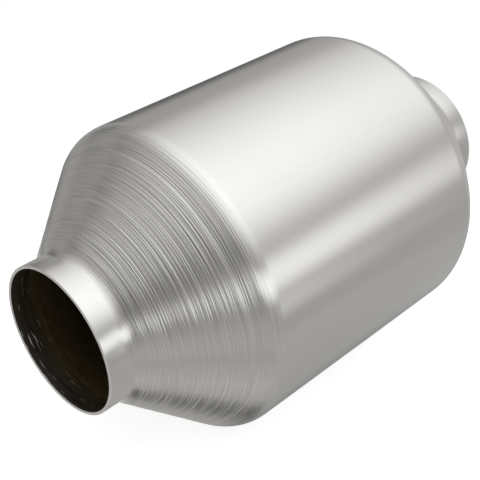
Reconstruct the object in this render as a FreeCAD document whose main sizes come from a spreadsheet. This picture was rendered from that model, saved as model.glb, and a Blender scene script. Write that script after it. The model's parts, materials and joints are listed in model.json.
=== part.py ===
"""Spun catalytic converter, in millimetres.

One stainless tube is spun down at both ends into a cone and a neck. Inside its body a ceramic honeycomb
is held by a fibre mat, and a ring of knitted wire closes the mat at each end.
The X axis is the axis of the gas flow, from the inlet at -X to the outlet at +X, and +Z is up. The
origin is the middle of the converter, on that axis.
"""

import math
import os
import sys

import FreeCAD, Part
import Sketcher

# Driving dimensions. Each has one cell of the sheet and is set nowhere else.
DIMENSIONS = {
    "brick_dia": (118.4, "outer diameter of the ceramic honeycomb"),
    "brick_len": (101.6, "length of the ceramic honeycomb"),
    "skin": (0.6, "least thickness of the solid ceramic skin round the channels"),
    "channel_pitch": (4.445, "pitch of the channels, 3.5 times that of a real honeycomb"),
    "web": (0.5775, "ceramic wall between two channels, also 3.5 times a real one"),
    "mat_gap": (4.0, "thickness of the mat, which fills the gap from ceramic to shell"),
    "mat_setback": (5.0, "how far the mat stops short of each end of the ceramic"),
    "mat_joint": (1.0, "width of the joint where the two ends of the mat meet"),
    "tongue_reach": (26.0, "how far the tongue of the mat reaches into its other end"),
    "tongue_width": (30.5, "width of that tongue, along the axis"),
    "seal_lip": (1.8, "thickness of the seal where it folds over the end of the ceramic"),
    "seal_reach": (4.0, "how far that fold reaches in over the end of the ceramic"),
    "seal_room": (0.83, "from the seal to the start of the shoulder bend"),
    "wall": (1.27, "thickness of the shell"),
    "shoulder_bend": (10.8, "outer radius of the bend between body and cone"),
    "cone_angle": (41.76, "angle of the cone to the axis, in degrees"),
    "root_bend": (7.5, "outer radius of the bend between cone and neck"),
    "neck_bore": (58.0, "inner diameter of the neck, which takes a pipe of 57.15"),
    "neck_len": (7.84, "straight length of the neck, from its bend to its rim"),
    "rim_break": (0.3, "rounding of the edges of the rim"),
}

# Radii and places that several pieces share. Places are distances from the middle, along the axis.
BRICK_R = "sizes.brick_dia / 2"
MAT_R = f"({BRICK_R} + sizes.mat_gap)"
BODY_R = f"({MAT_R} + sizes.wall)"
NECK_R = "(sizes.neck_bore / 2 + sizes.wall)"
BRICK_END = "sizes.brick_len / 2"
MAT_END = f"({BRICK_END} - sizes.mat_setback)"
SEAL_END = f"({BRICK_END} + sizes.seal_lip)"
BODY_END = f"({SEAL_END} + sizes.seal_room)"
CONE_ANGLE = "sizes.cone_angle * 1 deg"


def make_sheet(doc):
    sheet = doc.addObject("Spreadsheet::Sheet", "sizes")
    for row, (name, (value, meaning)) in enumerate(DIMENSIONS.items(), start=1):
        sheet.set(f"A{row}", name)
        sheet.set(f"B{row}", str(value))
        sheet.setAlias(f"B{row}", name)
        sheet.set(f"C{row}", meaning)
    doc.recompute()
    return sheet


def plane(body, role):
    return next(p for p in body.Origin.OriginFeatures if p.Role == role)


def new_sketch(body, name, role):
    """A sketch on one of the body's own origin planes."""
    sketch = body.newObject("Sketcher::SketchObject", name)
    sketch.AttachmentSupport = [(plane(body, role), "")]
    sketch.MapMode = "FlatFace"
    return sketch


def bind(sketch, kind, refs, name, expression):
    """Adds a dimension to the sketch, names it and ties it to the sheet."""
    now = sketch.evalExpression(expression)
    index = sketch.addConstraint(Sketcher.Constraint(kind, *refs, now))
    sketch.renameConstraint(index, name)
    sketch.setExpression(f"Constraints.{name}", expression)


def line(sketch, start, end):
    points = (FreeCAD.Vector(*start, 0), FreeCAD.Vector(*end, 0))
    return sketch.addGeometry(Part.LineSegment(*points), False)


def arc(sketch, centre, radius, start_angle, end_angle):
    circle = Part.Circle(FreeCAD.Vector(*centre, 0), FreeCAD.Vector(0, 0, 1), radius)
    return sketch.addGeometry(Part.ArcOfCircle(circle, start_angle, end_angle), False)


def closed_outline(sketch, corners):
    """A closed outline of straight edges. Each corner is an expression for x and one for y."""
    places = [tuple(sketch.evalExpression(text) for text in corner) for corner in corners]
    edges = [line(sketch, start, end) for start, end in zip(places, places[1:] + places[:1])]
    for edge, after in zip(edges, edges[1:] + edges[:1]):
        sketch.addConstraint(Sketcher.Constraint("Coincident", edge, 2, after, 1))
    for edge, (across, up) in zip(edges, corners):
        bind(sketch, "DistanceX", (-1, 1, edge, 1), f"x{edge}", across)
        bind(sketch, "DistanceY", (-1, 1, edge, 1), f"y{edge}", up)


# The shell


def draw_outlet_half(sketch, sizes):
    """The outer outline of the half that ends in the outlet, from the axis round to the axis."""
    body_r, neck_r, body_end = (sketch.evalExpression(text) for text in (BODY_R, NECK_R, BODY_END))
    slope = math.radians(sizes.cone_angle)
    shoulder, root = sizes.shoulder_bend, sizes.root_bend
    cone_top = (body_end + shoulder * math.sin(slope), body_r - shoulder * (1 - math.cos(slope)))
    cone_foot_r = neck_r + root * (1 - math.cos(slope))
    cone_foot = (cone_top[0] + (cone_top[1] - cone_foot_r) / math.tan(slope), cone_foot_r)
    neck_start = cone_foot[0] + root * math.sin(slope)
    rim = neck_start + sizes.neck_len
    upright = math.pi / 2

    middle = line(sketch, (0, 0), (0, body_r))
    body = line(sketch, (0, body_r), (body_end, body_r))
    bend_out = arc(sketch, (body_end, body_r - shoulder), shoulder, upright - slope, upright)
    cone = line(sketch, cone_top, cone_foot)
    bend_in = arc(sketch, (neck_start, neck_r + root), root, 3 * upright - slope, 3 * upright)
    neck = line(sketch, (neck_start, neck_r), (rim, neck_r))
    end = line(sketch, (rim, neck_r), (rim, 0))
    axis = line(sketch, (rim, 0), (0, 0))

    for first, second in ((middle, body), (neck, end), (end, axis), (axis, middle)):
        sketch.addConstraint(Sketcher.Constraint("Coincident", first, 2, second, 1))
    # Both arcs run anticlockwise, so the outline goes down the first from its far end.
    for first, first_end, second, second_end in (
        (body, 2, bend_out, 2),
        (bend_out, 1, cone, 1),
        (cone, 2, bend_in, 1),
        (bend_in, 2, neck, 1),
    ):
        sketch.addConstraint(Sketcher.Constraint("Tangent", first, first_end, second, second_end))
    for edge in (middle, end):
        sketch.addConstraint(Sketcher.Constraint("Vertical", edge))
    for edge in (body, neck, axis):
        sketch.addConstraint(Sketcher.Constraint("Horizontal", edge))
    sketch.addConstraint(Sketcher.Constraint("Coincident", middle, 1, -1, 1))

    bind(sketch, "Distance", (middle,), "body_radius", BODY_R)
    bind(sketch, "Distance", (body,), "half_body", BODY_END)
    bind(sketch, "Radius", (bend_out,), "shoulder", "sizes.shoulder_bend")
    bind(sketch, "Angle", (cone, 2, axis, 1), "cone", CONE_ANGLE)
    bind(sketch, "Radius", (bend_in,), "root", "sizes.root_bend")
    bind(sketch, "Distance", (neck,), "neck", "sizes.neck_len")
    bind(sketch, "Distance", (end,), "neck_radius", NECK_R)


def flat_faces(shape):
    """The names of the flat faces, which on the shell are its two ends."""
    return [
        f"Face{number}"
        for number, face in enumerate(shape.Faces, start=1)
        if isinstance(face.Surface, Part.Plane)
    ]


def make_shell(doc, sizes):
    """The spun tube: body, two cones and two necks in one piece of even thickness."""
    body = doc.addObject("PartDesign::Body", "shell")
    outline = new_sketch(body, "shell_outline", "XZ_Plane")
    draw_outlet_half(outline, sizes)
    half = body.newObject("PartDesign::Revolution", "shell_half")
    half.Profile = outline
    half.ReferenceAxis = (outline, ["H_Axis"])
    half.Angle = 360
    doc.recompute()

    whole = body.newObject("PartDesign::Mirrored", "shell_whole")
    whole.Originals = [half]
    whole.MirrorPlane = (plane(body, "YZ_Plane"), [""])
    whole.Refine = True
    body.Tip = whole
    doc.recompute()

    hollow = body.newObject("PartDesign::Thickness", "shell_hollow")
    hollow.Base = (whole, flat_faces(whole.Shape))
    hollow.Reversed = True
    hollow.setExpression("Value", "sizes.wall")
    body.Tip = hollow
    doc.recompute()

    rims = body.newObject("PartDesign::Fillet", "shell_rims")
    rims.Base = (hollow, flat_faces(hollow.Shape))
    rims.setExpression("Radius", "sizes.rim_break")
    body.Tip = rims
    return body


# The ceramic honeycomb


def channel_outlines(sizes, end_x):
    """The square channels that lie wholly inside the skin, on a square grid, each as a wire."""
    pitch = sizes.channel_pitch
    half_width = (pitch - sizes.web) / 2
    skin_r = sizes.brick_dia / 2 - sizes.skin
    reach = int(skin_r // pitch)
    outlines = []
    for column in range(-reach, reach + 1):
        for row in range(-reach, reach + 1):
            y, z = column * pitch, row * pitch
            if math.hypot(abs(y) + half_width, abs(z) + half_width) > skin_r:
                continue
            # Clockwise, because a hole's wire runs against the outer one.
            corners = ((-1, -1), (-1, 1), (1, 1), (1, -1), (-1, -1))
            points = [
                FreeCAD.Vector(end_x, y + across * half_width, z + up * half_width)
                for across, up in corners
            ]
            outlines.append(Part.makePolygon(points))
    return outlines


def make_honeycomb(doc, sizes):
    """One extruded ceramic piece: its end face is drawn with every channel, and extruded."""
    end_x = -sizes.brick_len / 2
    rim = Part.Circle(FreeCAD.Vector(end_x, 0, 0), FreeCAD.Vector(1, 0, 0), sizes.brick_dia / 2)
    face = Part.Face(Part.Wire(rim.toShape()))
    face.cutHoles(channel_outlines(sizes, end_x))
    section = doc.addObject("Part::Feature", "honeycomb_section")
    section.Shape = face

    honeycomb = doc.addObject("Part::Extrusion", "ceramic_honeycomb")
    honeycomb.Base = section
    honeycomb.DirMode = "Custom"
    honeycomb.Dir = FreeCAD.Vector(1, 0, 0)
    honeycomb.setExpression("LengthFwd", "sizes.brick_len")
    honeycomb.Solid = True
    return honeycomb


# The mat


def draw_mat_ring(sketch):
    """The mat's section: it touches the ceramic inside and the shell outside."""
    for name, expression in (("inner", BRICK_R), ("outer", MAT_R)):
        radius = sketch.evalExpression(expression)
        circle = Part.Circle(FreeCAD.Vector(0, 0, 0), FreeCAD.Vector(0, 0, 1), radius)
        ring = sketch.addGeometry(circle, False)
        sketch.addConstraint(Sketcher.Constraint("Coincident", ring, 3, -1, 1))
        bind(sketch, "Radius", (ring,), name, expression)


def draw_mat_joint(sketch):
    """The joint from above: in from one edge, round the tongue in the middle, and out at the other."""
    past_end = BRICK_END
    tongue_side = "(sizes.tongue_width / 2)"
    groove_side = "(sizes.tongue_width / 2 + sizes.mat_joint)"
    root = "(sizes.tongue_reach / 2)"
    groove_root = "(sizes.tongue_reach / 2 + sizes.mat_joint)"
    tip = "(sizes.tongue_reach / 2 - sizes.mat_joint)"
    closed_outline(
        sketch,
        [
            (f"-{past_end}", f"-{root}"),
            (f"-{tongue_side}", f"-{root}"),
            (f"-{tongue_side}", root),
            (tongue_side, root),
            (tongue_side, f"-{root}"),
            (past_end, f"-{root}"),
            (past_end, f"-{tip}"),
            (groove_side, f"-{tip}"),
            (groove_side, groove_root),
            (f"-{groove_side}", groove_root),
            (f"-{groove_side}", f"-{tip}"),
            (f"-{past_end}", f"-{tip}"),
        ],
    )


def make_mat(doc):
    """One sheet of fibre mat wrapped round the ceramic, its ends meeting in a tongue and groove."""
    body = doc.addObject("PartDesign::Body", "support_mat")
    ring = new_sketch(body, "mat_ring", "YZ_Plane")
    draw_mat_ring(ring)
    tube = body.newObject("PartDesign::Pad", "mat_tube")
    tube.Profile = ring
    tube.SideType = "Symmetric"
    tube.setExpression("Length", f"2 * {MAT_END}")
    doc.recompute()

    joint = new_sketch(body, "mat_joint_outline", "XY_Plane")
    draw_mat_joint(joint)
    cut = body.newObject("PartDesign::Pocket", "mat_cut")
    cut.Profile = joint
    cut.Type = "ThroughAll"
    cut.Reversed = True
    body.Tip = cut
    return body


# The end seals


def make_seal(doc, name, turn):
    """A ring of knitted wire that closes the mat and folds over the end of the ceramic."""
    body = doc.addObject("PartDesign::Body", name)
    section = new_sketch(body, f"{name}_section", "XZ_Plane")
    fold_r = f"({BRICK_R} - sizes.seal_reach)"
    closed_outline(
        section,
        [
            (MAT_END, BRICK_R),
            (BRICK_END, BRICK_R),
            (BRICK_END, fold_r),
            (SEAL_END, fold_r),
            (SEAL_END, MAT_R),
            (MAT_END, MAT_R),
        ],
    )
    ring = body.newObject("PartDesign::Revolution", f"{name}_ring")
    ring.Profile = section
    ring.ReferenceAxis = (section, ["H_Axis"])
    ring.Angle = 360
    body.Tip = ring
    body.Placement.Rotation = FreeCAD.Rotation(FreeCAD.Vector(0, 0, 1), turn)
    return body


def check(doc, pieces):
    for thing in doc.Objects:
        if {"Invalid", "Error"} & set(thing.State):
            sys.exit(f"{thing.Name} failed: {thing.State}")
    for piece in pieces:
        shape = piece.Shape
        if shape.isNull() or not shape.isValid() or not shape.Solids or shape.Volume <= 0:
            sys.exit(f"{piece.Label} is not a sound solid")


def main():
    doc = FreeCAD.newDocument("catalytic_converter")
    sizes = make_sheet(doc)
    pieces = [
        make_shell(doc, sizes),
        make_honeycomb(doc, sizes),
        make_mat(doc),
        make_seal(doc, "inlet_seal", 180),
        make_seal(doc, "outlet_seal", 0),
    ]
    doc.recompute()
    check(doc, pieces)
    os.makedirs("parts", exist_ok=True)
    for piece in pieces:
        piece.Shape.exportStep(f"parts/{piece.Label}.step")
        box = piece.Shape.optimalBoundingBox(False)
        print(
            f"{piece.Label}: {len(piece.Shape.Solids)} solid, {piece.Shape.Volume / 1000:.2f} cm3,",
            f"X {box.XMin:.2f} to {box.XMax:.2f}, Z {box.ZMin:.2f} to {box.ZMax:.2f}",
        )


main()
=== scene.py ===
"""The looks of a spun catalytic converter: its steel shell, ceramic honeycomb, fibre mat and wire seals."""

import json
import math
import random

import bmesh
import bpy
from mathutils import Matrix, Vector


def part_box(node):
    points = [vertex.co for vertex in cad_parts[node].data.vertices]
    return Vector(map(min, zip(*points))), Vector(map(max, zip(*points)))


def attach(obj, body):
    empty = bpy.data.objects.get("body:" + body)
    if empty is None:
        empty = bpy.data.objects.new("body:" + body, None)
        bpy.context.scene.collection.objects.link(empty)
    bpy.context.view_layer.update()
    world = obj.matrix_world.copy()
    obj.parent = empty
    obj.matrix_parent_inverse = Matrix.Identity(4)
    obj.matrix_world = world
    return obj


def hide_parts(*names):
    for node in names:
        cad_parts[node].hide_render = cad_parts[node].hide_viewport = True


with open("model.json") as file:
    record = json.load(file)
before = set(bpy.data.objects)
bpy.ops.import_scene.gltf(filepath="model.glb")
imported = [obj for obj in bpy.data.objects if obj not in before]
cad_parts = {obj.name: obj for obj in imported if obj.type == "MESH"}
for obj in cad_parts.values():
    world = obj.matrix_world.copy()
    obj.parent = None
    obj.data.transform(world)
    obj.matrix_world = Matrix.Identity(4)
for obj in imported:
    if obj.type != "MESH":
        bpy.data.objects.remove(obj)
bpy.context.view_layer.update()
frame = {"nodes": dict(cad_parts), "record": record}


# The camera. It stands beyond the inlet, to one side and above, and looks down on the converter. It is
# placed by the middle of the inlet's mouth, given in its own axes: left, below the middle and ahead.
# Lengths are in metres here and below, apart from the lens and the film, which are in millimetres.
heading = math.radians(45.1)
look_down = math.radians(35.4)
mouth_seen_at = Vector((-0.0657, -0.0367, -0.3576))
focal_length = 74.43
film_width = 36
nearest_seen = 0.01

mouth = Vector((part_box("shell")[0].x, 0, 0))
camera_data = bpy.data.cameras.new("camera")
camera_data.sensor_width = film_width
camera_data.lens = focal_length
camera_data.clip_start = nearest_seen
camera = bpy.data.objects.new("camera", camera_data)
bpy.context.scene.collection.objects.link(camera)
camera.rotation_euler = (math.pi / 2 - look_down, 0, heading - math.pi / 2)
camera.location = mouth - camera.rotation_euler.to_matrix() @ mouth_seen_at
bpy.context.scene.camera = camera
bpy.context.scene.view_settings.view_transform = "Standard"


# The studio: a pale floor and walls, a large softbox overhead, a long low one at the side, and pale cards
# and dark flags, which give the metal its streaks. The camera sees the floor and the walls as white.
def new_node(tree, kind, inputs, **settings):
    """Adds a node, sets its fields, then sets each input or joins it to another node's output."""
    node = tree.nodes.new(kind)
    for name, value in settings.items():
        setattr(node, name, value)
    for name, value in inputs.items():
        if isinstance(value, bpy.types.NodeSocket):
            tree.links.new(value, node.inputs[name])
        else:
            node.inputs[name].default_value = value
    return node


def maths(tree, operation, *values):
    return new_node(tree, "ShaderNodeMath", dict(enumerate(values)), operation=operation).outputs[0]


def smooth_step(tree, value, low, high):
    """Rises smoothly from 0 at low to 1 at high, or falls where low is the larger."""
    inputs = {"Value": value, "From Min": low, "From Max": high}
    step = new_node(tree, "ShaderNodeMapRange", inputs, interpolation_type="SMOOTHSTEP")
    return step.outputs["Result"]


# A mix node knows its inputs by number: 0 is the share, 2 and 3 are values, and 6 and 7 are colours.
def mix_values(tree, share, first, second):
    mix = new_node(tree, "ShaderNodeMix", {0: share, 2: first, 3: second}, data_type="FLOAT")
    return mix.outputs[0]


def mix_colours(tree, share, first, second):
    mix = new_node(tree, "ShaderNodeMix", {0: share, 6: first, 7: second}, data_type="RGBA")
    return mix.outputs[2]


def new_material(name):
    material = bpy.data.materials.new(name)
    material.use_nodes = True
    material.node_tree.nodes.clear()
    return material, material.node_tree


def object_place(tree):
    """Where a point of the surface lies on its object, in metres."""
    return tree.nodes.new("ShaderNodeTexCoord").outputs["Object"]


def light_path(tree, kind):
    """1 for a ray of this kind and 0 for any other."""
    return tree.nodes.new("ShaderNodeLightPath").outputs[kind]


def seen_directly(tree):
    """1 where the camera sees a surface, straight or by a mirror or glass, and 0 where light falls on it."""
    straight_or_mirror = maths(
        tree, "MAXIMUM", light_path(tree, "Is Camera Ray"), light_path(tree, "Is Glossy Ray")
    )
    return maths(tree, "MAXIMUM", straight_or_mirror, light_path(tree, "Is Transmission Ray"))


# The floor is a round card that glows, so that it is white but for the object's shadow. In the metal it
# glows less, and least right under the body, where the dimmer glow is a painted shadow under the body.
# The metal looks through it under the inlet, at the ground.
white = (1, 1, 1, 1)
wall_tint = (1, 0.981, 0.957, 1)
floor_radius = 0.19
floor_sides = 96
floor_colour = (0.5, 0.5, 0.498, 1)
floor_glow = 0.8
floor_glow_in_metal = 0.405
floor_glow_in_painted_shadow = 0.2
painted_shadow_from = 0.063
painted_shadow_to = 0.045
under_inlet_from = -0.05
under_inlet_to = -0.06

bpy.ops.object.select_all(action="DESELECT")
bpy.ops.mesh.primitive_circle_add(
    vertices=floor_sides, radius=floor_radius, fill_type="NGON", location=(0, 0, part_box("shell")[0].z)
)
floor = bpy.context.object
floor.name = "floor"
floor_material, tree = new_material("pale_floor")
place = new_node(tree, "ShaderNodeSeparateXYZ", {"Vector": object_place(tree)})
from_middle_line = maths(tree, "ABSOLUTE", place.outputs["Y"])
# Painted shadow: near the middle line, under the body, the floor glows less in the metal.
painted_shadow_under_body = smooth_step(tree, from_middle_line, painted_shadow_from, painted_shadow_to)
glow_in_metal = mix_values(tree, painted_shadow_under_body, floor_glow_in_metal, floor_glow_in_painted_shadow)
glow_in_metal = maths(tree, "MULTIPLY", seen_directly(tree), glow_in_metal)
camera_ray = light_path(tree, "Is Camera Ray")
glow_strength = mix_values(tree, camera_ray, glow_in_metal, floor_glow)
glow_tint = mix_colours(tree, camera_ray, wall_tint, white)
card = new_node(tree, "ShaderNodeBsdfDiffuse", {"Color": floor_colour})
glow = new_node(tree, "ShaderNodeEmission", {"Color": glow_tint, "Strength": glow_strength})
glowing_card = new_node(tree, "ShaderNodeAddShader", {0: card.outputs[0], 1: glow.outputs[0]})
clear = new_node(tree, "ShaderNodeBsdfTransparent", {})
under_inlet = smooth_step(tree, place.outputs["X"], under_inlet_from, under_inlet_to)
past_floor = maths(tree, "MULTIPLY", under_inlet, light_path(tree, "Is Glossy Ray"))
from_below = tree.nodes.new("ShaderNodeNewGeometry").outputs["Backfacing"]
see_through = maths(tree, "MAXIMUM", from_below, past_floor)
floor_surface = new_node(
    tree, "ShaderNodeMixShader", {0: see_through, 1: glowing_card.outputs[0], 2: clear.outputs[0]}
)
new_node(tree, "ShaderNodeOutputMaterial", {"Surface": floor_surface.outputs[0]})
floor.data.materials.append(floor_material)


def new_group(name, inputs, outputs):
    """A node group with the named sockets. Returns it with the nodes that hold its inputs and outputs."""
    group = bpy.data.node_groups.new(name, "ShaderNodeTree")
    for socket, kind in inputs:
        group.interface.new_socket(name=socket, in_out="INPUT", socket_type=kind)
    for socket, kind in outputs:
        group.interface.new_socket(name=socket, in_out="OUTPUT", socket_type=kind)
    return group, group.nodes.new("NodeGroupInput"), group.nodes.new("NodeGroupOutput")


# A soft patch is a rectangle with soft edges, in any two measures of where a ray goes.
patch_inputs = (
    "Across", "Up", "Middle across", "Middle up", "Half across", "Half up", "Edge across", "Edge up"
)
soft_patch, patch_in, patch_out = new_group(
    "soft_patch", [(name, "NodeSocketFloat") for name in patch_inputs], [("Mask", "NodeSocketFloat")]
)
sides = []
for way in ("across", "up"):
    middle = patch_in.outputs["Middle " + way]
    half = patch_in.outputs["Half " + way]
    edge = patch_in.outputs["Edge " + way]
    distance = maths(soft_patch, "SUBTRACT", patch_in.outputs[way.capitalize()], middle)
    distance = maths(soft_patch, "ABSOLUTE", distance)
    outer = maths(soft_patch, "ADD", half, edge)
    inner = maths(soft_patch, "SUBTRACT", half, edge)
    sides.append(smooth_step(soft_patch, distance, outer, inner))
soft_patch.links.new(maths(soft_patch, "MULTIPLY", *sides), patch_out.inputs["Mask"])


def add_patch(tree, name, places, middle, half, edge):
    """A soft patch with its name on it. Each measure is a pair, across and up."""
    inputs = dict(zip(patch_inputs, (*places, *middle, *half, *edge)))
    patch = new_node(tree, "ShaderNodeGroup", inputs, node_tree=soft_patch, label=name)
    return patch.outputs["Mask"]


world = bpy.data.worlds.new("studio")
world.use_nodes = True
bpy.context.scene.world = world
tree = world.node_tree
tree.nodes.clear()
ray = tree.nodes.new("ShaderNodeTexCoord").outputs["Generated"]
direction = new_node(tree, "ShaderNodeSeparateXYZ", {"Vector": ray})
ray_x, ray_y, upwards = [direction.outputs[axis] for axis in "XYZ"]

# A place on the ceiling is given in steps of 0.7 m per metre of height, across and along the camera's
# heading. A place around the object is given in degrees, round from the inlet's side and up from the level.
least_rise = 0.02
rise = maths(tree, "MAXIMUM", upwards, least_rise)
on_ceiling = (
    maths(tree, "DIVIDE", maths(tree, "SUBTRACT", ray_x, ray_y), rise),
    maths(tree, "DIVIDE", maths(tree, "ADD", ray_x, ray_y), rise),
)
to_inlet = maths(tree, "MULTIPLY", ray_x, -1)
to_side = maths(tree, "MULTIPLY", ray_y, -1)
around = (
    maths(tree, "DEGREES", maths(tree, "ARCTAN2", to_side, to_inlet)),
    maths(tree, "DEGREES", maths(tree, "ARCSINE", upwards)),
)

# Each light, card and flag: where it is, its middle, its half size, its soft edge and its brightness. A
# later one covers those before it.
studio_parts = (
    ("ceiling", on_ceiling, (1.13, 1.27), (1.85, 2.26), (1.27, 1.84), 1.6),
    ("overhead softbox", on_ceiling, (0.64, 0.14), (1.06, 1.06), (1.06, 1.06), 2.53),
    ("side softbox", around, (97, 9.7), (43, 8.8), (16, 6), 2.25),
    ("low end of the side softbox", around, (122, -9), (6, 5), (5, 4), 1.7),
    ("grey wall behind", around, (-84, -2), (38, 30), (6, 7), 0.63),
    ("pale wall high behind", around, (-50, 39), (14, 4), (8, 4), 0.92),
    ("dim wall high behind", around, (-64, 23), (14, 5), (8, 4), 0.46),
    ("pale card behind", around, (-115, 2), (3, 13), (4, 8), 1.05),
    ("dark gap under the side softbox", around, (46, -5), (18, 8), (8, 4), 0.56),
    ("pale ground", around, (0, -62), (200, 40), (5, 8), 0.84),
    ("pale ground ahead", around, (48, -60), (34, 6), (12, 6), 0.94),
    ("dim ground ahead", around, (48, -38), (34, 4), (12, 5), 0.75),
    ("ground behind", around, (-110, -72), (50, 18), (14, 6), 0.66),
    # Painted shadow: the darkness under the object, which the metal sees below the inlet through the floor.
    ("painted shadow straight below", around, (0, -90), (200, 11.5), (5, 7), 0.23),
    ("dark floor far behind", around, (-110, -29), (13, 9), (5, 5), 0.3),
    ("low flag behind", around, (-133, -17), (13, 13), (4, 4), 0.13),
    ("high flag behind", around, (-104, 5), (9, 10), (6, 5), 0.33),
    ("flag at the left", around, (28, 22), (20, 9), (12, 8), 0.45),
    ("flag ahead of the inlet", around, (-8, 12), (40, 14), (12, 8), 0.35),
    ("flag above the inlet", around, (2, 38), (18, 5), (10, 5), 0.58),
)
wall_brightness = 0.76
far_wall_brightness = 1.05
far_wall_from = 0.8
far_wall_to = 0.97
beyond_outlet = smooth_step(tree, ray_x, far_wall_from, far_wall_to)
brightness = mix_values(tree, beyond_outlet, wall_brightness, far_wall_brightness)
for name, places, middle, half, edge, level in studio_parts:
    share = add_patch(tree, name, places, middle, half, edge)
    if places is on_ceiling:
        share = maths(tree, "MULTIPLY", share, maths(tree, "GREATER_THAN", upwards, 0))
    brightness = mix_values(tree, share, brightness, level)

# The light that falls on dull surfaces is at a plain level. Lamps are white, and dimmer walls a warm white.
light_level = 0.62
lamp_from = 0.9
lamp_to = 1.7
lit = maths(tree, "MULTIPLY", brightness, mix_values(tree, seen_directly(tree), light_level, 1.0))
camera_ray = light_path(tree, "Is Camera Ray")
strength = mix_values(tree, camera_ray, lit, 1.0)
lamp = smooth_step(tree, brightness, lamp_from, lamp_to)
tint = mix_colours(tree, maths(tree, "MAXIMUM", camera_ray, lamp), wall_tint, white)
background = new_node(tree, "ShaderNodeBackground", {"Color": tint, "Strength": strength})
new_node(tree, "ShaderNodeOutputWorld", {"Surface": background.outputs[0]})


# The honeycomb: an extruded ceramic brick with square channels in a round skin, dipped in a beige coat.
# Its channels are the real ones, 20 to the inch.
channel_pitch = 0.00127
channel_wall = 0.000165
skin_inner_share = 0.966
low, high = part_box("ceramic_honeycomb")
brick_r = high.z
channels_across = int(2 * brick_r / channel_pitch)

bpy.ops.object.select_all(action="DESELECT")
bpy.ops.mesh.primitive_grid_add(
    x_subdivisions=channels_across,
    y_subdivisions=channels_across,
    size=channels_across * channel_pitch,
    location=(low.x, 0, 0),
    rotation=(0, math.pi / 2, 0),
)
honeycomb = bpy.context.object
honeycomb.name = "coated_honeycomb"
bpy.ops.object.transform_apply(location=True, rotation=True, scale=True)
bpy.ops.object.mode_set(mode="EDIT")
bpy.ops.mesh.select_mode(type="FACE")
bpy.ops.mesh.select_all(action="DESELECT")
cells = bmesh.from_edit_mesh(honeycomb.data)
for face in cells.faces:
    face.select_set(max(corner.co.yz.length for corner in face.verts) > brick_r - channel_wall)
bmesh.update_edit_mesh(honeycomb.data)
bpy.ops.mesh.delete(type="FACE")
bpy.ops.mesh.select_all(action="SELECT")
bpy.ops.mesh.inset(thickness=channel_wall / 2, use_individual=True)
bpy.ops.mesh.delete(type="ONLY_FACE")
bpy.ops.mesh.select_all(action="SELECT")
bpy.ops.mesh.extrude_region_move(TRANSFORM_OT_translate={"value": (high.x - low.x, 0, 0)})
bpy.ops.mesh.select_all(action="SELECT")
bpy.ops.mesh.normals_make_consistent(inside=False)
bpy.ops.object.mode_set(mode="OBJECT")

# Corners nearer to each other than this are one corner.
same_place = 0.000001


def turn_round(name, outline, steps=128):
    """Turns a closed outline of (x, radius) corners round the X axis, as a lathe or spinning bench does.

    A small plane, merged to a single corner, starts the outline.
    """
    bpy.ops.object.select_all(action="DESELECT")
    bpy.ops.mesh.primitive_plane_add(size=0.001)
    piece = bpy.context.object
    piece.name = name
    bpy.ops.object.mode_set(mode="EDIT")
    bpy.ops.mesh.select_mode(type="VERT")
    bpy.ops.mesh.merge(type="CENTER")
    bpy.ops.transform.translate(value=(outline[0][0], 0, outline[0][1]))
    for (x, r), (next_x, next_r) in zip(outline, outline[1:] + outline[:1]):
        bpy.ops.mesh.extrude_region_move(TRANSFORM_OT_translate={"value": (next_x - x, 0, next_r - r)})
    bpy.ops.mesh.select_all(action="SELECT")
    bpy.ops.mesh.spin(steps=steps, angle=2 * math.pi, center=(0, 0, 0), axis=(1, 0, 0))
    bpy.ops.mesh.select_all(action="SELECT")
    bpy.ops.mesh.remove_doubles(threshold=same_place)
    bpy.ops.mesh.normals_make_consistent(inside=False)
    bpy.ops.object.mode_set(mode="OBJECT")
    return piece


skin_r = brick_r * skin_inner_share
skin = turn_round(
    "honeycomb_skin", [(low.x, skin_r), (low.x, brick_r), (high.x, brick_r), (high.x, skin_r)]
)
bpy.ops.object.select_all(action="DESELECT")
skin.select_set(True)
honeycomb.select_set(True)
bpy.context.view_layer.objects.active = honeycomb
bpy.ops.object.join()


def add_noise(tree, place, per_metre, detail):
    noise = new_node(tree, "ShaderNodeTexNoise", {"Vector": place, "Scale": per_metre, "Detail": detail})
    return noise.outputs["Fac"]


def add_bump(tree, strength, depth, height):
    bump = new_node(tree, "ShaderNodeBump", {"Strength": strength, "Distance": depth, "Height": height})
    return bump.outputs["Normal"]


def finish_surface(tree, inputs):
    """Ends a material with a shader that has these inputs."""
    shader = new_node(tree, "ShaderNodeBsdfPrincipled", inputs)
    new_node(tree, "ShaderNodeOutputMaterial", {"Surface": shader.outputs[0]})


def put_on(piece, *materials):
    """Gives a piece these materials in place of any that it has."""
    piece.data.materials.clear()
    for material in materials:
        piece.data.materials.append(material)


dark_coat = (0.5, 0.4, 0.27, 1)
pale_coat = (0.7, 0.61, 0.46, 1)
blotches_per_metre = 90.0
grains_per_metre = 6000.0
grain_depth = 0.00004

ceramic_material, tree = new_material("beige_coated_ceramic")
place = object_place(tree)
blotches = add_noise(tree, place, blotches_per_metre, detail=4.0)
grains = add_noise(tree, place, grains_per_metre, detail=2.0)
finish_surface(
    tree,
    {
        "Base Color": mix_colours(tree, blotches, dark_coat, pale_coat),
        "Roughness": 0.85,
        "Normal": add_bump(tree, 0.6, grain_depth, grains),
    },
)
put_on(honeycomb, ceramic_material)
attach(honeycomb, "root")
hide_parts("ceramic_honeycomb")


# The mat: one sheet of ceramic fibre with flakes of mica in it, wrapped round the brick and pressed
# between it and the shell. It stays as it is in the frame, and takes a fibrous finish.
dark_fibre = (0.62, 0.57, 0.48, 1)
pale_fibre = (0.86, 0.83, 0.76, 1)
mica = (0.42, 0.3, 0.15, 1)
fibres_per_metre = 700.0
fibre_stretch = (1.0, 5.0, 5.0)
fibre_depth = 0.0002
flakes_per_metre = 900.0
flake_edge = 0.22
flake_middle = 0.12

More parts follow.
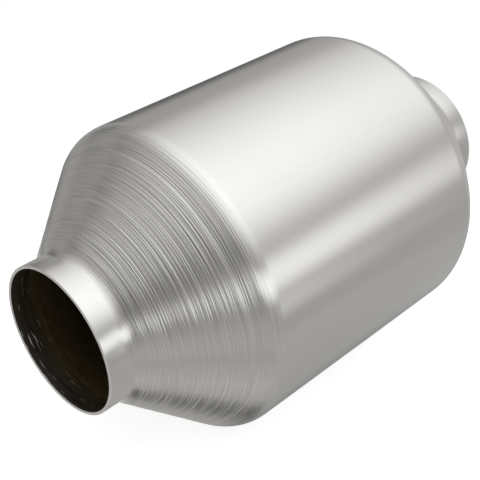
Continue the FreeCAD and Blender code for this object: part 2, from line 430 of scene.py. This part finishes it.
mat_material, tree = new_material("fibre_and_mica")
place = object_place(tree)
stretched = new_node(tree, "ShaderNodeMapping", {"Vector": place, "Scale": fibre_stretch})
fibres = add_noise(tree, stretched.outputs[0], fibres_per_metre, detail=5.0)
flakes = new_node(tree, "ShaderNodeTexVoronoi", {"Vector": place, "Scale": flakes_per_metre})
flake_mask = smooth_step(tree, flakes.outputs["Distance"], flake_edge, flake_middle)
felt = mix_colours(tree, fibres, dark_fibre, pale_fibre)
finish_surface(
    tree,
    {
        "Base Color": mix_colours(tree, flake_mask, felt, mica),
        "Roughness": 0.95,
        "Normal": add_bump(tree, 0.8, fibre_depth, fibres),
    },
)
put_on(frame["nodes"]["support_mat"], mat_material)


# The seals: rings of knitted stainless wire, rolled and pressed to an L that closes the mat and folds
# over the edge of the brick.
wire_colour = (0.32, 0.3, 0.27, 1)
# The near-black colour between the wires is painted shade in the holes of the knit.
painted_shade_in_gaps = (0.03, 0.028, 0.025, 1)
wires_per_metre = 1500.0
wire_edge = 0.2
wire_middle = 0.05
wire_depth = 0.0002

seal_material, tree = new_material("knitted_wire")
wires = new_node(
    tree,
    "ShaderNodeTexVoronoi",
    {"Vector": object_place(tree), "Scale": wires_per_metre},
    feature="DISTANCE_TO_EDGE",
)
wire_mask = smooth_step(tree, wires.outputs["Distance"], wire_edge, wire_middle)
finish_surface(
    tree,
    {
        "Base Color": mix_colours(tree, wire_mask, painted_shade_in_gaps, wire_colour),
        "Metallic": 1.0,
        "Roughness": 0.45,
        "Normal": add_bump(tree, 1.0, wire_depth, wire_mask),
    },
)
for node in ("inlet_seal", "outlet_seal"):
    put_on(frame["nodes"][node], seal_material)


# The shell: one stainless tube, spun down at both ends. The body is smooth, each cone keeps the marks of
# the roller's passes, and each neck is sized on a plug and cut square. Inside, the oxide is dark brown.
wall = 0.00127
shoulder_bend = 0.0108
root_bend = 0.0075
cone_angle = math.radians(41.76)
neck_length = 0.00784
rim_break = 0.0003
low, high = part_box("shell")
rim_x = high.x
body_r = -low.z
bore_r = frame["record"]["mounts"][0]["dims"]["r_mm"] / 1000
neck_r = bore_r + wall

neck_start = rim_x - neck_length
cone_foot = Vector(
    (neck_start - root_bend * math.sin(cone_angle), neck_r + root_bend * (1 - math.cos(cone_angle)))
)
cone_top_r = body_r - shoulder_bend * (1 - math.cos(cone_angle))
cone_top = Vector((cone_foot.x - (cone_top_r - cone_foot.y) / math.tan(cone_angle), cone_top_r))
body_end = cone_top.x - shoulder_bend * math.sin(cone_angle)

mark_spacing = 0.00024
closest_share = 0.45
widest_share = 1.55
mark_depth = 0.00006
shallowest_share = 0.4
new_depth_chance = 0.3
mark_fade = 0.002


def roller_marks(start, end, seed):
    """Points down a cone, each a little in or out at random, as the roller's passes leave the steel."""
    chance = random.Random(seed)
    down = (end - start).normalized()
    outward = Vector((-down.y, down.x))
    length = (end - start).length
    points = [start]
    reach = mark_spacing
    depth = 0
    while reach < length - mark_spacing:
        if chance.random() < new_depth_chance:
            depth = mark_depth * chance.uniform(shallowest_share, 1)
        from_end = min(reach, length - reach) / mark_fade
        relief = depth * min(1, from_end) * chance.uniform(-1, 1)
        points.append(start + down * reach + outward * relief)
        reach += mark_spacing * chance.uniform(closest_share, widest_share)
    points.append(end)
    return [tuple(point) for point in points]


def arc(centre, radius, start, end, steps):
    """Points of an arc in the half plane of x and radius, from one angle to another."""
    return [
        (
            centre[0] + radius * math.cos(start + (end - start) * step / steps),
            centre[1] + radius * math.sin(start + (end - start) * step / steps),
        )
        for step in range(steps + 1)
    ]


quarter = math.pi / 2
shoulder_centre = (body_end, body_r - shoulder_bend)
root_centre = (neck_start, neck_r + root_bend)
shoulder_steps = 14
root_steps = 12
rim_steps = 4
inner_steps = 10


def outer_half(seed):
    """The outside from the body's bend to the rim."""
    return (
        arc(shoulder_centre, shoulder_bend, quarter, quarter - cone_angle, shoulder_steps)[:-1]
        + roller_marks(cone_top, cone_foot, seed)
        + arc(root_centre, root_bend, 3 * quarter - cone_angle, 3 * quarter, root_steps)[1:]
        + arc((rim_x - rim_break, neck_r - rim_break), rim_break, quarter, 0, rim_steps)
    )


def inner_half():
    """The inside from the rim to the body's bend. It runs one wall inside the outer side."""
    return (
        arc((rim_x - rim_break, bore_r + rim_break), rim_break, 0, -quarter, rim_steps)
        + arc(root_centre, root_bend + wall, 3 * quarter - cone_angle, 3 * quarter, inner_steps)[::-1]
        + arc(shoulder_centre, shoulder_bend - wall, quarter, quarter - cone_angle, inner_steps)[::-1]
    )


def mirrored(points):
    return [(-x, r) for x, r in points[::-1]]


outlet_outside = outer_half(seed=7)
outlet_inside = inner_half()
inlet_outside = mirrored(outer_half(seed=3))
inlet_inside = mirrored(outlet_inside)
shell = turn_round("spun_shell", inlet_outside + outlet_outside + outlet_inside + inlet_inside)

# The edges of the roller's marks stay sharp, and gentler bends than a cut edge are smooth.
cut_edge = math.radians(50)
bpy.ops.object.shade_smooth_by_angle(angle=cut_edge)
for edge in shell.data.edges:
    first, second = [shell.data.vertices[number].co for number in edge.vertices]
    on_ring = abs(first.x - second.x) < same_place
    from_middle = abs(first.x)
    cone_r = cone_foot.y + (cone_foot.x - from_middle) * math.tan(cone_angle)
    if on_ring and cone_top.x < from_middle < cone_foot.x and first.yz.length > cone_r - wall / 2:
        edge.use_edge_sharp = True

# Lines round the axis: noise that is fine along the axis and drawn out round it, where a line breaks off
# only now and then. It keeps mostly between its low and its high.
line_low = 0.3
line_high = 0.7
spin_lines, lines_in, lines_out = new_group(
    "spin_lines",
    [
        ("Position", "NodeSocketVector"),
        ("Lines per metre", "NodeSocketFloat"),
        ("Breaks round", "NodeSocketFloat"),
    ],
    [("Height", "NodeSocketFloat")],
)
axes = new_node(spin_lines, "ShaderNodeSeparateXYZ", {"Vector": lines_in.outputs["Position"]})
square = maths(spin_lines, "MULTIPLY", axes.outputs["Y"], axes.outputs["Y"])
square = maths(spin_lines, "MULTIPLY_ADD", axes.outputs["Z"], axes.outputs["Z"], square)
from_axis = maths(spin_lines, "SQRT", square)
round_y = maths(spin_lines, "DIVIDE", axes.outputs["Y"], from_axis)
round_z = maths(spin_lines, "DIVIDE", axes.outputs["Z"], from_axis)
lines_vector = new_node(
    spin_lines,
    "ShaderNodeCombineXYZ",
    {
        "X": maths(spin_lines, "MULTIPLY", axes.outputs["X"], lines_in.outputs["Lines per metre"]),
        "Y": maths(spin_lines, "MULTIPLY", round_y, lines_in.outputs["Breaks round"]),
        "Z": maths(spin_lines, "MULTIPLY", round_z, lines_in.outputs["Breaks round"]),
    },
)
lines_height = add_noise(spin_lines, lines_vector.outputs[0], 1.0, detail=1.0)
spin_lines.links.new(lines_height, lines_out.inputs["Height"])


def add_lines(tree, place, per_metre, breaks):
    inputs = {"Position": place, "Lines per metre": per_metre, "Breaks round": breaks}
    return new_node(tree, "ShaderNodeGroup", inputs, node_tree=spin_lines).outputs["Height"]


def along_axis(tree, place):
    """How far a point lies from the middle of the converter, along its axis."""
    return maths(tree, "ABSOLUTE", new_node(tree, "ShaderNodeSeparateXYZ", {"Vector": place}).outputs["X"])


# The steel outside: fine lines on the cones, and no more than a trace of them on the body and the necks.
# On the cones the lines also darken and lighten the steel's colour: partly the steel's own tone along the
# roller's passes, partly painted shade in the grooves and painted sheen.
body_steel = (0.424, 0.421, 0.415, 1)
smudged_steel = (0.4, 0.396, 0.389, 1)
dark_line_and_painted_shade = (0.375, 0.371, 0.364, 1)
pale_line_and_painted_sheen = (0.45, 0.446, 0.439, 1)
smudges_per_metre = 22.0
coarse_per_metre = 4200.0
fine_per_metre = 5200.0
coarse_share = 0.8
fine_share = 0.08
line_depth = 0.00015
relief_on_body = 0.03
more_on_cone = 0.95
lines_fade = 0.006
lines_on_neck = 0.002
body_roughness = 0.24
smoother_cone = -0.06

steel_material, tree = new_material("spun_stainless_steel")
place = object_place(tree)
along = along_axis(tree, place)
on_cone = maths(
    tree,
    "MULTIPLY",
    smooth_step(tree, along, body_end, body_end + lines_fade),
    smooth_step(tree, along, neck_start + lines_on_neck, neck_start - lines_fade),
)
smudges = add_noise(tree, place, smudges_per_metre, detail=3.0)
plain_steel = mix_colours(tree, smudges, body_steel, smudged_steel)
# The lines' tone: the steel's own tone along the passes, with painted shade and painted sheen.
line_tone_and_painted_shading = smooth_step(
    tree, add_lines(tree, place, coarse_per_metre, breaks=2.0), line_low, line_high
)
lined_steel_with_painted_shading = mix_colours(tree, line_tone_and_painted_shading, dark_line_and_painted_shade, pale_line_and_painted_sheen)
coarse = add_lines(tree, place, coarse_per_metre, breaks=1.2)
fine = add_lines(tree, place, fine_per_metre, breaks=3.0)
fine = maths(tree, "MULTIPLY", fine, fine_share)
height = maths(tree, "MULTIPLY_ADD", coarse, coarse_share, fine)
relief = maths(tree, "MULTIPLY_ADD", on_cone, more_on_cone, relief_on_body)
tangent = new_node(tree, "ShaderNodeTangent", {}, direction_type="RADIAL", axis="X")
finish_surface(
    tree,
    {
        "Base Color": mix_colours(tree, on_cone, plain_steel, lined_steel_with_painted_shading),
        "Metallic": 1.0,
        "Specular Tint": (0.85, 0.85, 0.85, 1),
        "Roughness": maths(tree, "MULTIPLY_ADD", on_cone, smoother_cone, body_roughness),
        "Anisotropic": 0.7,
        "Anisotropic Rotation": 0.25,
        "Normal": add_bump(tree, relief, line_depth, height),
        "Tangent": tangent.outputs[0],
    },
)

# The oxide inside: nearly black in the bore, brown behind it, with short bare scratches round the bore.
dark_in_bore = (0.003, 0.002, 0.001, 1)
pale_in_bore = (0.038, 0.03, 0.019, 1)
dark_in_cone = (0.13, 0.094, 0.04, 1)
pale_in_cone = (0.19, 0.14, 0.062, 1)
bare_scratch = (0.8, 0.78, 0.74, 1)
rings_per_metre = 2400.0
ring_depth = 0.00006
scratches_per_metre = 3600.0
scratch_from = 0.71
scratch_to = 0.75
paler_from = 0.003
paler_to = 0.01

oxide_material, tree = new_material("dark_oxide_inside")
place = object_place(tree)
along = along_axis(tree, place)
deeper = smooth_step(tree, along, neck_start + paler_from, neck_start - paler_to)
rings = smooth_step(
    tree, add_lines(tree, place, rings_per_metre, breaks=1.5), line_low, line_high
)
scratches = add_lines(tree, place, scratches_per_metre, breaks=3.0)
scratches = smooth_step(tree, scratches, scratch_from, scratch_to)
in_bore = mix_colours(tree, rings, dark_in_bore, pale_in_bore)
in_cone = mix_colours(tree, rings, dark_in_cone, pale_in_cone)
oxide = mix_colours(tree, deeper, in_bore, in_cone)
finish_surface(
    tree,
    {
        "Base Color": mix_colours(tree, scratches, oxide, bare_scratch),
        "Metallic": scratches,
        "Roughness": mix_values(tree, scratches, 0.42, 0.6),
        "Specular IOR Level": 0.3,
        "Normal": add_bump(tree, 0.6, ring_depth, rings),
    },
)

# The cut rim: bare steel with a fine grain.
dark_cut = (0.45, 0.44, 0.43, 1)
pale_cut = (0.52, 0.515, 0.5, 1)
cut_grains_per_metre = 3000.0

rim_material, tree = new_material("cut_rim")
grain = add_noise(tree, object_place(tree), cut_grains_per_metre, detail=2.0)
finish_surface(
    tree,
    {"Base Color": mix_colours(tree, grain, dark_cut, pale_cut), "Metallic": 1.0, "Roughness": 0.38},
)

outside, inside, rim = range(3)
put_on(shell, steel_material, oxide_material, rim_material)
for face in shell.data.polygons:
    if abs(face.center.x) > rim_x - rim_break:
        face.material_index = rim
    elif face.normal.yz.dot(face.center.yz) < 0:
        face.material_index = inside
    else:
        face.material_index = outside
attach(shell, "root")
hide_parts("shell")
